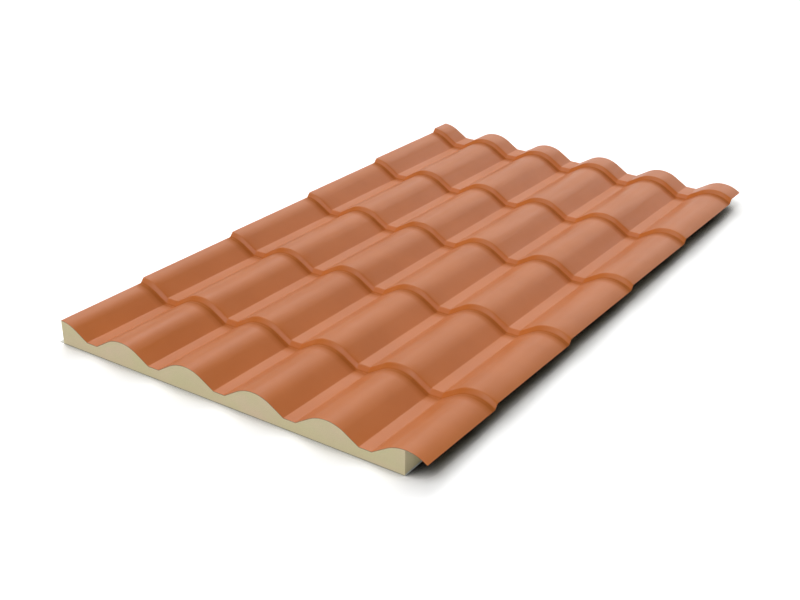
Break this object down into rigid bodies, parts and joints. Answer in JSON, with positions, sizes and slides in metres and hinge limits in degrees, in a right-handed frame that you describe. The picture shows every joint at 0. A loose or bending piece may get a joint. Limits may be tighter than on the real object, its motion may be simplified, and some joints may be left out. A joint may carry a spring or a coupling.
{
  "type": "insulated roof panel",
  "caption": "Foam-cored roof panel with a stepped tile-wave outer sheet, a side lap on the right, and a flat inner sheet.",
  "frame": {"origin": "centre of the bounding box's bottom face, on the flat underside of the inner sheet", "axes": "+X across the panel towards the side lap, +Y up the roof slope along the length, +Z out of the weather face"},
  "size_m": [1.069, 1.75, 0.0657],
  "materials": {
    "outer_sheet": "terracotta polyester coating, satin",
    "foam_core": "cut rigid polyurethane foam, matt",
    "inner_sheet": "grey-white coating, satin"
  },
  "bodies": {
    "root": {"outer_sheet": "outer_sheet", "foam_core": "foam_core", "inner_sheet": "inner_sheet"}
  },
  "joints": []
}
